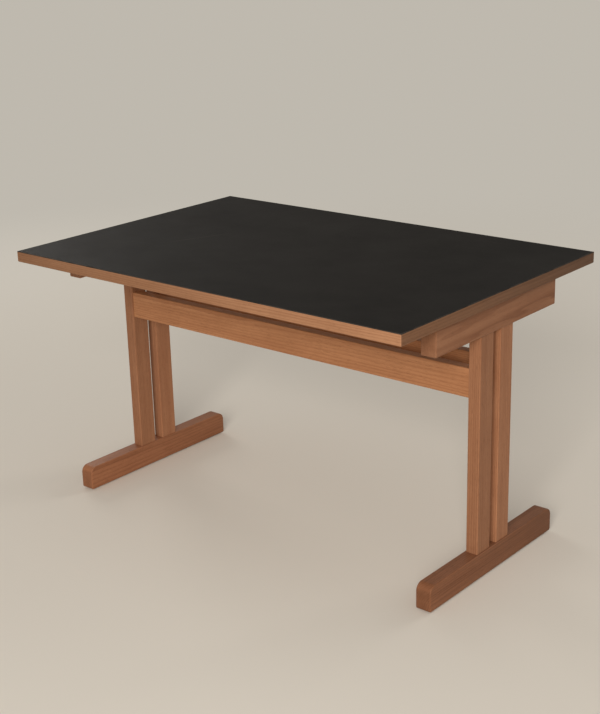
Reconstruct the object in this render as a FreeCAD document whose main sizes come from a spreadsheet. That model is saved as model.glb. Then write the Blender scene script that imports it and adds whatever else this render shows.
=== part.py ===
import FreeCAD, Part
import os
import Sketcher

# Writing desk: a flat top on two end frames that two long rails join.
# +X runs along the desk, +Y to its back, +Z up, and the origin is on the floor under the middle.

# Driving sizes in millimetres
SIZES = {
    # Whole desk
    "desk_length": 1200,
    "desk_depth": 800,
    "desk_height": 700,
    # Top panel: black sheet, core, balancing sheet and wooden lipping round the edge
    "linoleum_thickness": 2,
    "linoleum_edge_round": 0.8,
    "core_thickness": 24,
    "backing_thickness": 2,
    "lipping_width": 16,
    "lipping_edge_round": 2.5,
    "tongue_depth": 8,
    "tongue_thickness": 8,
    "groove_clearance": 0.5,
    # End frames: a foot and a bearer across the desk with two uprights between them
    "end_overhang": 18,
    "bearer_inset": 150,
    "bearer_height": 70,
    "foot_inset": 134,
    "foot_height": 63,
    "foot_end_round": 20,
    "foot_toe_round": 5,
    "upright_thickness": 32,
    "upright_width": 54,
    "upright_gap": 28,
    "upright_inset": 4,
    "arris_round": 3,
    # Tenons of the uprights and the mortises that take them
    "tenon_cheek": 9,
    "tenon_shoulder": 8,
    "mortise_floor": 22,
    "mortise_clearance": 1,
    # Rails between the end frames
    "rail_height": 71,
    "rail_thickness": 28,
    "rail_setback": 4,
    "rail_drop": 82,
    # Dowels in the ends of the rails
    "dowel_diameter": 10,
    "dowel_edge": 17,
    "dowel_wall": 9,
    "dowel_in_rail": 30,
    "dowel_chamfer": 1,
    "dowel_clearance": 1,
    # Screws and washers that hold the top
    "screw_end_margin": 60,
    "screw_diameter": 5,
    "screw_head_height": 3.4,
    "screw_grip": 34,
    "screw_cover": 7,
    "screw_hole_clearance": 0.5,
    "screw_tip_clearance": 1,
    "washer_margin": 1.5,
    "washer_thickness": 1.2,
    "counterbore_margin": 1,
    # Glides nailed under the feet
    "glide_inset": 42,
    "glide_diameter": 24,
    "glide_height": 3,
    "nail_diameter": 2.6,
    "nail_length": 16,
    "nail_clearance": 1,
}

# Heights above the floor
FOOT_TOP = "(Sizes.glide_height + Sizes.foot_height)"
CORE_TOP = "(Sizes.desk_height - Sizes.linoleum_thickness)"
CORE_BASE = f"({CORE_TOP} - Sizes.core_thickness)"
PANEL_BASE = f"({CORE_BASE} - Sizes.backing_thickness)"
BEARER_BASE = f"({PANEL_BASE} - Sizes.bearer_height)"
RAIL_MIDDLE = f"({BEARER_BASE} - Sizes.rail_drop - Sizes.rail_height / 2)"
SCREW_SEAT = f"({PANEL_BASE} - Sizes.screw_grip)"

# Feet and bearers, which are of one width
BAR_WIDTH = "(Sizes.upright_thickness + 2 * Sizes.upright_inset)"
FOOT_LENGTH = "(Sizes.desk_depth - 2 * Sizes.foot_inset)"
BEARER_LENGTH = "(Sizes.desk_depth - 2 * Sizes.bearer_inset)"

# Distances from the middle of the desk
FRAME_X = f"(Sizes.desk_length / 2 - Sizes.end_overhang - {BAR_WIDTH} / 2)"
UPRIGHT_INNER_X = f"({FRAME_X} - Sizes.upright_thickness / 2)"
UPRIGHT_Y = "((Sizes.upright_gap + Sizes.upright_width) / 2)"
RAIL_IN_UPRIGHT_Y = "(Sizes.upright_width / 2 - Sizes.rail_setback - Sizes.rail_thickness / 2)"
RAIL_Y = f"({UPRIGHT_Y} + {RAIL_IN_UPRIGHT_Y})"
SCREW_Y = f"({BEARER_LENGTH} / 2 - Sizes.screw_end_margin)"
GLIDE_Y = f"({FOOT_LENGTH} / 2 - Sizes.glide_inset)"

# Tenons and mortises
TENON_THICKNESS = "(Sizes.upright_thickness - 2 * Sizes.tenon_cheek)"
TENON_WIDTH = "(Sizes.upright_width - 2 * Sizes.tenon_shoulder)"
FOOT_MORTISE_DEPTH = "(Sizes.foot_height - Sizes.mortise_floor)"
BEARER_MORTISE_DEPTH = "(Sizes.bearer_height - Sizes.mortise_floor)"

# Dowels and their holes
DOWEL_SPACING = "(Sizes.rail_height - 2 * Sizes.dowel_edge)"
UPRIGHT_HOLE_DEPTH = "(Sizes.upright_thickness - Sizes.dowel_wall)"
DOWEL_IN_UPRIGHT = f"({UPRIGHT_HOLE_DEPTH} - Sizes.dowel_clearance)"

# Screws, washers and their holes
HEAD_DIAMETER = "(2 * Sizes.screw_diameter)"
WASHER_DIAMETER = f"({HEAD_DIAMETER} + 2 * Sizes.washer_margin)"
COUNTERBORE_DIAMETER = f"({WASHER_DIAMETER} + 2 * Sizes.counterbore_margin)"
SCREW_HOLE_DIAMETER = "(Sizes.screw_diameter + 2 * Sizes.screw_hole_clearance)"
CORE_HOLE_DEPTH = "(Sizes.core_thickness - Sizes.screw_cover)"
SCREW_BITE = f"({CORE_HOLE_DEPTH} - Sizes.screw_tip_clearance)"
SCREW_REACH = f"(Sizes.screw_grip + Sizes.backing_thickness + {SCREW_BITE})"

# The sides of the middle that the two ends of the desk and its two rows of uprights are on
ENDS = {"left": "-", "right": ""}
ROWS = {"front": "-", "rear": ""}
OTHER_SIDE = {"-": "", "": "-"}
SCREW_PLACES = (f"-{SCREW_Y}", "0", SCREW_Y)
SAME_PLACE = 1e-6

document = FreeCAD.newDocument("WritingDesk")
sheet = document.addObject("Spreadsheet::Sheet", "Sizes")
for row, (alias, value) in enumerate(SIZES.items(), start=1):
    sheet.set(f"A{row}", str(value))
    sheet.setAlias(f"A{row}", alias)
document.recompute()


# Bodies, sketches and features

def origin_feature(body, role):
    """Plane or axis of the body's own origin."""
    return next(feature for feature in body.Origin.OriginFeatures if feature.Role == role)


def new_body(label, x="0", y="0", z="0", turn=0):
    """Body of one sub-part, placed by expressions and turned about the vertical."""
    body = document.addObject("PartDesign::Body", label)
    body.Label = label
    body.Placement = FreeCAD.Placement(FreeCAD.Vector(), FreeCAD.Rotation(turn, 0, 0))
    for axis, place in zip("xyz", (x, y, z)):
        body.setExpression(f"Placement.Base.{axis}", place)
    return body


def end_body(end, piece, x, y="0", z="0"):
    """Body of a sub-part of one end of the desk, turned about so that its own +X points outwards."""
    turn = 180 if end == "left" else 0
    return new_body(f"{end}_{piece}", x=f"{ENDS[end]}{x}", y=y, z=z, turn=turn)


def new_sketch(body, name, role, across="0", along="0", lift="0"):
    """Sketch on one of the body's origin planes, shifted in that plane and lifted off it."""
    sketch = body.newObject("Sketcher::SketchObject", name)
    sketch.AttachmentSupport = [(origin_feature(body, role), "")]
    sketch.MapMode = "FlatFace"
    for axis, shift in zip("xyz", (across, along, lift)):
        sketch.setExpression(f"AttachmentOffset.Base.{axis}", shift)
    return sketch


def constrain(sketch, kind, element, point, expression):
    """Dimension on one element of the sketch, bound to an expression."""
    start = sketch.evalExpression(expression)
    place = (element,) if point is None else (element, point)
    number = sketch.addConstraint(Sketcher.Constraint(kind, *place, start))
    sketch.setExpression(f"Constraints[{number}]", expression)


def add_outline(sketch, points):
    """Closed outline of straight lines through points given as pairs of expressions."""
    first = sketch.GeometryCount
    corners = [FreeCAD.Vector(*map(sketch.evalExpression, point)) for point in points]
    for corner, following in zip(corners, corners[1:] + corners[:1]):
        sketch.addGeometry(Part.LineSegment(corner, following), False)
    for step, (across, along) in enumerate(points):
        line = first + step
        following = first + (step + 1) % len(points)
        sketch.addConstraint(Sketcher.Constraint("Coincident", line, 2, following, 1))
        constrain(sketch, "DistanceX", line, 1, across)
        constrain(sketch, "DistanceY", line, 1, along)


def add_rectangle(sketch, width, height, across="0", along="0"):
    """Rectangle of a width and height about a middle point."""
    left = f"{across} - {width} / 2"
    right = f"{across} + {width} / 2"
    low = f"{along} - {height} / 2"
    high = f"{along} + {height} / 2"
    add_outline(sketch, [(left, low), (right, low), (right, high), (left, high)])


def add_circle(sketch, diameter, across="0", along="0"):
    """Circle of a diameter about a middle point."""
    centre = FreeCAD.Vector(sketch.evalExpression(across), sketch.evalExpression(along))
    radius = sketch.evalExpression(diameter) / 2
    circle = sketch.addGeometry(Part.Circle(centre, FreeCAD.Vector(0, 0, 1), radius), False)
    constrain(sketch, "DistanceX", circle, 3, across)
    constrain(sketch, "DistanceY", circle, 3, along)
    constrain(sketch, "Diameter", circle, None, diameter)


def add_feature(body, kind, name, sketch, length, side, reverse):
    """Pad or pocket of a sketch."""
    feature = body.newObject(kind, name)
    feature.Profile = sketch
    feature.SideType = side
    feature.Reversed = reverse
    feature.setExpression("Length", length)
    document.recompute()
    return feature


def pad(body, name, sketch, length, side="One side", reverse=False):
    """Solid raised from a sketch."""
    return add_feature(body, "PartDesign::Pad", name, sketch, length, side, reverse)


def pocket(body, name, sketch, depth, side="One side", reverse=False):
    """Recess cut from a sketch, which has to take wood away."""
    before = body.Shape.Volume
    feature = add_feature(body, "PartDesign::Pocket", name, sketch, depth, side, reverse)
    if body.Shape.Volume > before - SAME_PLACE:
        raise RuntimeError(f"{name} of {body.Label} cuts nothing")
    return feature


def turned(body, name, sketch, axis):
    """Solid turned from a half profile about one of the sketch's own axes."""
    feature = body.newObject("PartDesign::Revolution", name)
    feature.Profile = sketch
    feature.ReferenceAxis = (sketch, [axis])
    document.recompute()
    return feature


def rounded(body, name, radius, wanted):
    """Rounding of those edges of the body that the test picks."""
    base = body.Tip
    edges = [f"Edge{number}" for number, edge in enumerate(base.Shape.Edges, start=1) if wanted(edge)]
    feature = body.newObject("PartDesign::Fillet", name)
    feature.Base = (base, edges)
    feature.setExpression("Radius", radius)
    document.recompute()
    return feature


def repeated(body, name, feature, role, span, count):
    """Row of copies of a feature along one axis of the body."""
    pattern = body.newObject("PartDesign::LinearPattern", name)
    pattern.Originals = [feature]
    pattern.Direction = (origin_feature(body, role), [""])
    pattern.Occurrences = count
    pattern.setExpression("Length", span)
    body.Tip = pattern
    return pattern


def runs_along(edge, axis):
    """Whether an edge is straight along the axis named by its letter."""
    box = edge.BoundBox
    lengths = {"x": box.XLength, "y": box.YLength, "z": box.ZLength}
    return lengths.pop(axis) > SAME_PLACE and max(lengths.values()) < SAME_PLACE


def lies_at(edge, axis, place):
    """Whether a whole edge is in the plane square to the axis at that place."""
    box = edge.BoundBox
    low, high = {"x": (box.XMin, box.XMax), "y": (box.YMin, box.YMax), "z": (box.ZMin, box.ZMax)}[axis]
    return abs(low - place) < SAME_PLACE and abs(high - place) < SAME_PLACE


# Top panel

def make_linoleum():
    """Black sheet that covers the whole top to the outside of the lipping."""
    body = new_body("top_linoleum", z=CORE_TOP)
    plan = new_sketch(body, "LinoleumPlan", "XY_Plane")
    add_rectangle(plan, "Sizes.desk_length", "Sizes.desk_depth")
    pad(body, "LinoleumSheet", plan, "Sizes.linoleum_thickness")
    upper = sheet.linoleum_thickness
    rounded(body, "LinoleumEdge", "Sizes.linoleum_edge_round", lambda edge: lies_at(edge, "z", upper))
    return body


def core_outline(sketch, margin="0"):
    """Rectangle inside the lipping, drawn in by a margin."""
    length = f"(Sizes.desk_length - 2 * Sizes.lipping_width - 2 * {margin})"
    depth = f"(Sizes.desk_depth - 2 * Sizes.lipping_width - 2 * {margin})"
    add_rectangle(sketch, length, depth)


def screw_circles(sketch, diameter):
    """Circles at every top screw of both bearers."""
    for side in ENDS.values():
        for place in SCREW_PLACES:
            add_circle(sketch, diameter, f"{side}{FRAME_X}", place)


def make_core():
    """Panel with a groove round its edge for the lipping and blind holes for the screws."""
    body = new_body("top_core", z=CORE_BASE)
    plan = new_sketch(body, "CorePlan", "XY_Plane")
    core_outline(plan)
    pad(body, "CorePanel", plan, "Sizes.core_thickness")
    groove = new_sketch(body, "GroovePlan", "XY_Plane", lift="Sizes.core_thickness / 2")
    core_outline(groove)
    core_outline(groove, "(Sizes.tongue_depth + Sizes.groove_clearance)")
    pocket(body, "Groove", groove, "Sizes.tongue_thickness", side="Symmetric")
    holes = new_sketch(body, "ScrewHolePlan", "XY_Plane")
    screw_circles(holes, "Sizes.screw_diameter")
    pocket(body, "ScrewHoles", holes, CORE_HOLE_DEPTH, reverse=True)
    return body


def make_backing():
    """Balancing sheet under the core, with clear holes for the screws."""
    body = new_body("top_backing", z=PANEL_BASE)
    plan = new_sketch(body, "BackingPlan", "XY_Plane")
    core_outline(plan)
    screw_circles(plan, SCREW_HOLE_DIAMETER)
    pad(body, "BackingSheet", plan, "Sizes.backing_thickness")
    return body


def mitred_strip(sketch, run, outer, inner):
    """Plan of a strip between two distances from the edge of the top, mitred at both ends."""
    points = []
    for margin, first, second in ((outer, "-", ""), (inner, "", "-")):
        for side in (first, second):
            along = f"{side}(Sizes.{run} / 2 - {margin})"
            points.append((along, f"-{margin}"))
    add_outline(sketch, points)


def make_lipping(label, run, edge, turn):
    """Edge strip of the top, mitred, with a tongue that fits the groove of the core."""
    x, y = edge
    body = new_body(label, x=x, y=y, z=PANEL_BASE, turn=turn)
    height = "(Sizes.core_thickness + Sizes.backing_thickness)"
    plan = new_sketch(body, "StripPlan", "XY_Plane")
    mitred_strip(plan, run, "0", "Sizes.lipping_width")
    pad(body, "Strip", plan, height)
    outside = lambda item: lies_at(item, "y", 0) and lies_at(item, "z", 0)
    rounded(body, "StripArris", "Sizes.lipping_edge_round", outside)
    middle = "Sizes.backing_thickness + Sizes.core_thickness / 2"
    tongue = new_sketch(body, "TonguePlan", "XY_Plane", lift=middle)
    mitred_strip(tongue, run, "Sizes.lipping_width", "(Sizes.lipping_width + Sizes.tongue_depth)")
    pad(body, "Tongue", tongue, "Sizes.tongue_thickness", side="Symmetric")
    return body


def make_lippings():
    """Four edge strips, each drawn along the back edge and turned to its own."""
    half_length = "Sizes.desk_length / 2"
    half_depth = "Sizes.desk_depth / 2"
    return [
        make_lipping("lipping_back", "desk_length", ("0", half_depth), 0),
        make_lipping("lipping_left", "desk_depth", (f"-{half_length}", "0"), 90),
        make_lipping("lipping_front", "desk_length", ("0", f"-{half_depth}"), 180),
        make_lipping("lipping_right", "desk_depth", (half_length, "0"), 270),
    ]


# End frames

def mortises(body, lift, depth, reverse=False):
    """Pair of mortises for the tenons of the two uprights."""
    plan = new_sketch(body, "MortisePlan", "XY_Plane", lift=lift)
    for row_side in ROWS.values():
        add_rectangle(plan, TENON_THICKNESS, TENON_WIDTH, along=f"{row_side}{UPRIGHT_Y}")
    pocket(body, "Mortises", plan, depth, reverse=reverse)


def make_foot(end):
    """Floor bar with rounded ends, mortised for the uprights and drilled for the glide nails."""
    body = end_body(end, "foot", FRAME_X, z="Sizes.glide_height")
    profile = new_sketch(body, "FootProfile", "YZ_Plane")
    add_rectangle(profile, FOOT_LENGTH, "Sizes.foot_height", along="Sizes.foot_height / 2")
    pad(body, "FootBar", profile, BAR_WIDTH, side="Symmetric")
    half = profile.evalExpression(f"{FOOT_LENGTH} / 2")
    at_end = lambda edge: lies_at(edge, "y", half) or lies_at(edge, "y", -half)
    top = sheet.foot_height
    rounded(body, "FootEnds", "Sizes.foot_end_round", lambda edge: at_end(edge) and lies_at(edge, "z", top))
    rounded(body, "FootToes", "Sizes.foot_toe_round", lambda edge: at_end(edge) and lies_at(edge, "z", 0))
    cheek = profile.evalExpression(f"{BAR_WIDTH} / 2")
    on_cheek = lambda edge: lies_at(edge, "x", cheek) or lies_at(edge, "x", -cheek)
    rounded(body, "FootArrises", "Sizes.arris_round", on_cheek)
    mortises(body, "Sizes.foot_height", FOOT_MORTISE_DEPTH)
    holes = new_sketch(body, "NailHolePlan", "XY_Plane")
    for row_side in ROWS.values():
        add_circle(holes, "Sizes.nail_diameter", along=f"{row_side}{GLIDE_Y}")
    pocket(body, "NailHoles", holes, "Sizes.nail_length + Sizes.nail_clearance", reverse=True)
    return body


def make_bearer(end):
    """Cross bar under the top, mortised for the uprights and counterbored for the screws."""
    body = end_body(end, "bearer", FRAME_X, z=BEARER_BASE)
    profile = new_sketch(body, "BearerProfile", "YZ_Plane")
    add_rectangle(profile, BEARER_LENGTH, "Sizes.bearer_height", along="Sizes.bearer_height / 2")
    pad(body, "BearerBar", profile, BAR_WIDTH, side="Symmetric")
    top = sheet.bearer_height
    rounded(body, "BearerArrises", "Sizes.arris_round", lambda edge: not lies_at(edge, "z", top))
    mortises(body, "0", BEARER_MORTISE_DEPTH, reverse=True)
    bores = new_sketch(body, "CounterborePlan", "XY_Plane")
    holes = new_sketch(body, "ScrewHolePlan", "XY_Plane")
    for place in SCREW_PLACES:
        add_circle(bores, COUNTERBORE_DIAMETER, along=place)
        add_circle(holes, SCREW_HOLE_DIAMETER, along=place)
    pocket(body, "Counterbores", bores, "Sizes.bearer_height - Sizes.screw_grip", reverse=True)
    pocket(body, "ScrewHoles", holes, "Sizes.bearer_height", reverse=True)
    return body


def make_upright(end, row):
    """Post between foot and bearer, tenoned at both ends and drilled for one rail's dowels."""
    body = end_body(end, f"{row}_upright", FRAME_X, y=f"{ROWS[row]}{UPRIGHT_Y}", z=FOOT_TOP)
    length = f"({BEARER_BASE} - {FOOT_TOP})"
    section = new_sketch(body, "UprightSection", "XY_Plane")
    add_rectangle(section, "Sizes.upright_thickness", "Sizes.upright_width")
    pad(body, "UprightPost", section, length)
    rounded(body, "UprightArrises", "Sizes.arris_round", lambda edge: runs_along(edge, "z"))
    tenons = (
        ("LowerTenon", "0", FOOT_MORTISE_DEPTH, True),
        ("UpperTenon", length, BEARER_MORTISE_DEPTH, False),
    )
    for name, lift, depth, downwards in tenons:
        tenon = new_sketch(body, f"{name}Section", "XY_Plane", lift=lift)
        add_rectangle(tenon, TENON_THICKNESS, TENON_WIDTH)
        pad(body, name, tenon, f"{depth} - Sizes.mortise_clearance", reverse=downwards)
    rail_side = ROWS[row] if end == "right" else OTHER_SIDE[ROWS[row]]
    holes = new_sketch(body, "DowelHolePlan", "YZ_Plane", lift="-Sizes.upright_thickness / 2")
    for sign in ("-", "+"):
        rise = f"{RAIL_MIDDLE} - {FOOT_TOP} {sign} {DOWEL_SPACING} / 2"
        add_circle(holes, "Sizes.dowel_diameter", f"{rail_side}{RAIL_IN_UPRIGHT_Y}", rise)
    pocket(body, "DowelHoles", holes, UPRIGHT_HOLE_DEPTH, reverse=True)
    return body


# Rails and the dowels in their ends

def make_rail(row):
    """Long rail that butts against the inner faces of two uprights."""
    body = new_body(f"{row}_rail", y=f"{ROWS[row]}{RAIL_Y}", z=RAIL_MIDDLE)
    section = new_sketch(body, "RailSection", "YZ_Plane")
    add_rectangle(section, "Sizes.rail_thickness", "Sizes.rail_height")
    pad(body, "RailBar", section, f"2 * {UPRIGHT_INNER_X}", side="Symmetric")
    rounded(body, "RailArrises", "Sizes.arris_round", lambda edge: runs_along(edge, "x"))
    for end, side in ENDS.items():
        name = f"{end.capitalize()}DowelHoles"
        holes = new_sketch(body, f"{name}Plan", "YZ_Plane", lift=f"{side}{UPRIGHT_INNER_X}")
        for sign in ("-", ""):
            add_circle(holes, "Sizes.dowel_diameter", along=f"{sign}{DOWEL_SPACING} / 2")
        pocket(body, name, holes, "Sizes.dowel_in_rail + Sizes.dowel_clearance", reverse=end == "left")
    return body


def make_dowels(end):
    """Chamfered dowels, two in each rail's end, half in the upright."""
    body = end_body(end, "rail_dowels", UPRIGHT_INNER_X, z=RAIL_MIDDLE)
    corner = {"along": f"-{RAIL_Y}", "lift": f"-{DOWEL_SPACING} / 2"}
    profile = new_sketch(body, "DowelProfile", "XY_Plane", **corner)
    radius = "Sizes.dowel_diameter / 2"
    tip = f"({radius} - Sizes.dowel_chamfer)"
    outline = [
        ("-Sizes.dowel_in_rail", "0"),
        (DOWEL_IN_UPRIGHT, "0"),
        (DOWEL_IN_UPRIGHT, tip),
        (f"{DOWEL_IN_UPRIGHT} - Sizes.dowel_chamfer", radius),
        ("-Sizes.dowel_in_rail + Sizes.dowel_chamfer", radius),
        ("-Sizes.dowel_in_rail", tip),
    ]
    add_outline(profile, outline)
    dowel = turned(body, "Dowel", profile, "H_Axis")
    pattern = repeated(body, "DowelRows", dowel, "Y_Axis", f"2 * {RAIL_Y}", 2)
    pattern.Direction2 = (origin_feature(body, "Z_Axis"), [""])
    pattern.Occurrences2 = 2
    pattern.setExpression("Length2", DOWEL_SPACING)
    return body


# Screws, washers and glides

def make_screws(end):
    """Pan head screws, heads down in the counterbores, with their points in the core."""
    body = end_body(end, "top_screws", FRAME_X, z=SCREW_SEAT)
    profile = new_sketch(body, "ScrewProfile", "XZ_Plane", lift=SCREW_Y)
    shank = "Sizes.screw_diameter / 2"
    head = f"{HEAD_DIAMETER} / 2"
    head_top = "-Sizes.washer_thickness"
    head_base = f"({head_top} - Sizes.screw_head_height)"
    outline = [
        ("0", head_base),
        (f"{head} - Sizes.screw_head_height / 2", head_base),
        (head, f"{head_base} + Sizes.screw_head_height / 2"),
        (head, head_top),
        (shank, head_top),
        (shank, f"{SCREW_REACH} - Sizes.screw_diameter"),
        ("0", SCREW_REACH),
    ]
    add_outline(profile, outline)
    screw = turned(body, "Screw", profile, "V_Axis")
    repeated(body, "ScrewRow", screw, "Y_Axis", f"2 * {SCREW_Y}", len(SCREW_PLACES))
    return body


def make_washers(end):
    """Flat washers between the screw heads and the floors of the counterbores."""
    body = end_body(end, "top_washers", FRAME_X, z=SCREW_SEAT)
    plan = new_sketch(body, "WasherPlan", "XY_Plane", along=f"-{SCREW_Y}")
    add_circle(plan, WASHER_DIAMETER)
    add_circle(plan, SCREW_HOLE_DIAMETER)
    washer = pad(body, "Washer", plan, "Sizes.washer_thickness", reverse=True)
    repeated(body, "WasherRow", washer, "Y_Axis", f"2 * {SCREW_Y}", len(SCREW_PLACES))
    return body


def make_glides(end):
    """Round glides with a bevelled rim, each with the nail that holds it under the foot."""
    body = end_body(end, "glides", FRAME_X)
    profile = new_sketch(body, "GlideProfile", "XZ_Plane", lift=GLIDE_Y)
    rim = "Sizes.glide_diameter / 2"
    bevel = "Sizes.glide_height / 2"
    nail = "Sizes.nail_diameter / 2"
    nail_tip = "(Sizes.glide_height + Sizes.nail_length)"
    outline = [
        ("0", "0"),
        (f"{rim} - {bevel}", "0"),
        (rim, bevel),
        (rim, "Sizes.glide_height"),
        (nail, "Sizes.glide_height"),
        (nail, f"{nail_tip} - Sizes.nail_diameter"),
        ("0", nail_tip),
    ]
    add_outline(profile, outline)
    glide = turned(body, "Glide", profile, "V_Axis")
    repeated(body, "GlidePair", glide, "Y_Axis", f"2 * {GLIDE_Y}", 2)
    return body


def make_pieces():
    """Every sub-part of the desk."""
    pieces = [make_linoleum(), make_core(), make_backing()]
    pieces += make_lippings()
    for end in ENDS:
        pieces += [make_foot(end), make_bearer(end)]
        pieces += [make_upright(end, row) for row in ROWS]
        pieces += [make_dowels(end), make_screws(end), make_washers(end), make_glides(end)]
    pieces += [make_rail(row) for row in ROWS]
    return pieces


def write_pieces(pieces):
    """Check the whole document and every shape, then write one file for each sub-part."""
    document.recompute()
    for item in document.Objects:
        if {"Invalid", "Error"} & set(item.State):
            raise RuntimeError(f"{item.Label} did not compute: {item.State}")
    for piece in pieces:
        if piece.Shape.isNull() or not piece.Shape.isValid():
            raise RuntimeError(f"{piece.Label} has no valid shape")
    os.makedirs("parts", exist_ok=True)
    for piece in pieces:
        piece.Shape.exportStep(f"parts/{piece.Label}.step")
        print(piece.Label, len(piece.Shape.Solids), "solids", round(piece.Shape.Volume), "mm3")


write_pieces(make_pieces())
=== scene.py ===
import bmesh
import bpy
import math
import random
from bpy.props import FloatProperty, FloatVectorProperty, PointerProperty
from bpy.types import Operator, Panel, PropertyGroup
from mathutils import Euler, Matrix, Vector


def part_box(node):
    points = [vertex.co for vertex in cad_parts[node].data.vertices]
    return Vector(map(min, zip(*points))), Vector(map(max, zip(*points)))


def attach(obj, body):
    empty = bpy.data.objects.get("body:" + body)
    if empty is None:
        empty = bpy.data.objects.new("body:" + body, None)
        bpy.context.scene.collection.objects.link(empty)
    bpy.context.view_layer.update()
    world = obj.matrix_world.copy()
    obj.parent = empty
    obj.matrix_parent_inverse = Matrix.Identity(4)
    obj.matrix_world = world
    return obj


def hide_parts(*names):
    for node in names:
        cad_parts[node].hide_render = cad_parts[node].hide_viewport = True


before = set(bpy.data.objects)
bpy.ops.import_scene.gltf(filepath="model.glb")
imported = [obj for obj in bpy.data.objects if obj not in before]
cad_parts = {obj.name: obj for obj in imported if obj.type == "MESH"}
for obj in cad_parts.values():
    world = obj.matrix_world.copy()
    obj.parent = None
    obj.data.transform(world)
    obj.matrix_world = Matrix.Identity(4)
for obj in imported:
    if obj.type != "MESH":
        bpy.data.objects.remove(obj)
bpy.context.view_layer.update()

bl_info = {
    "name": "Writing Desk",
    "version": (1, 0, 0),
    "blender": (4, 5, 0),
    "location": "3D View > Sidebar > Desk",
    "description": "Finishes the boards of a writing desk, models its hardware and sets the stage",
    "category": "Object",
}

BODY = "root"
ENDS = ("left", "right")
ROWS = ("front", "rear")

# Heights closer than this are the same, and a face whose normal is this upright is level
NEAR = 1e-5
LEVEL = 0.9

# Edges that turn by less than this are shaded smooth
SMOOTH_ANGLE = math.radians(35)

# Sides of the round pieces, and steps in one turn of a thread
SCREW_SIDES = 32
WASHER_SIDES = 40
GLIDE_SIDES = 48
NAIL_SIDES = 24
FLOOR_SIDES = 96
THREAD_STEPS = 20

# Pieces in the row at each end of the desk
SCREWS_IN_ROW = 3
GLIDES_IN_ROW = 2

# Rounding of a screw's head as a share of its height, and tips as shares of the width that they end
SCREW_DOME = 0.62
SCREW_TIP = 0.06
NAIL_TIP = 0.08

# Turn that stands a thread's triangle upright with one corner outwards
RIDGE_TURN = (math.radians(90), math.radians(-30), 0.0)

# Faces of a glide within this many radii of the nail are the caps of the nail's hole
HOLE_REACH = 1.2

# Boards that are paler or darker than the rest of their kind, at their low end and at their high end: the
# change along a board is painted light and shade, where light falls off along it; a pair with equal ends
# only shifts the board's own tone
EVEN_TONE = (1.0, 1.0)
BOARD_TONES_AND_PAINTED_LIGHT = {
    "lipping_front": (0.90, 1.46),
    "lipping_right": (0.80, 0.44),
    "left_foot": (1.18, 0.94),
    "right_foot": (0.87, 0.65),
    "left_bearer": (0.90, 0.84),
    "right_bearer": (0.93, 0.82),
    "left_front_upright": (0.96, 0.78),
    "left_rear_upright": (1.12, 0.86),
    "right_front_upright": (0.93, 0.93),
    "right_rear_upright": (1.06, 1.06),
}

# Tone of end grain, darker partly because it drinks more oil and partly as painted shade, and the distance
# in which it takes over
END_GRAIN_AND_SHADE_TONE = 0.78
END_GRAIN_FADE = 0.003

# Distance of the tree's heart from a board, shift of the figure along it, and spread of tone among boards
HEART_REACH = (0.06, 0.16)
FIGURE_SHIFT = (-3.0, 3.0)
TONE_SPREAD = (0.96, 1.04)

# Paleness of wood rubbed bare, and width of the rubbed strip on the sheet as a share of that on wood
RUBBED_WOOD = 1.2
RUBBED_SHEET = 0.6

# Turns that bring the length of a board on to the Z axis of its grain
GRAIN_TURNS = {
    "X": Euler((0.0, math.radians(-90), 0.0)),
    "Y": Euler((math.radians(90), 0.0, 0.0)),
    "Z": Euler((0.0, 0.0, 0.0)),
}

# Lamps: name, place, side of the square and colour, and the point that they all face
LAMPS = (
    ("key", (2.90, -5.03, 2.52), 2.2, (1.0, 0.965, 0.91)),
    ("fill", (-4.6, 1.8, 2.0), 2.0, (1.0, 0.97, 0.93)),
    ("back", (1.5, 4.8, 2.4), 2.0, (1.0, 0.97, 0.93)),
)
LAMP_TARGET = (0.0, 0.0, 0.35)
AMBIENT_COLOUR = (1.0, 0.975, 0.94)

# Share of the floor's radius at which it starts to fade, and the camera's far limit
FLOOR_FADE = 0.35
CLIP_END = 200.0


# Settings

def colour_setting(name, description, default):
    """Colour that a user can change."""
    return FloatVectorProperty(
        name=name, description=description, default=default,
        subtype="COLOR", size=3, min=0.0, max=1.0,
    )


def length_setting(name, description, default):
    """Length in metres that a user can change."""
    return FloatProperty(
        name=name, description=description, default=default,
        unit="LENGTH", subtype="DISTANCE", min=0.0, precision=5,
    )


def power_setting(name, description, default):
    """Power of a lamp that a user can change."""
    return FloatProperty(name=name, description=description, default=default, min=0.0, unit="POWER")


def angle_setting(name, description, degrees):
    """Angle that a user can change."""
    return FloatProperty(name=name, description=description, default=math.radians(degrees), subtype="ANGLE")


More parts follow.
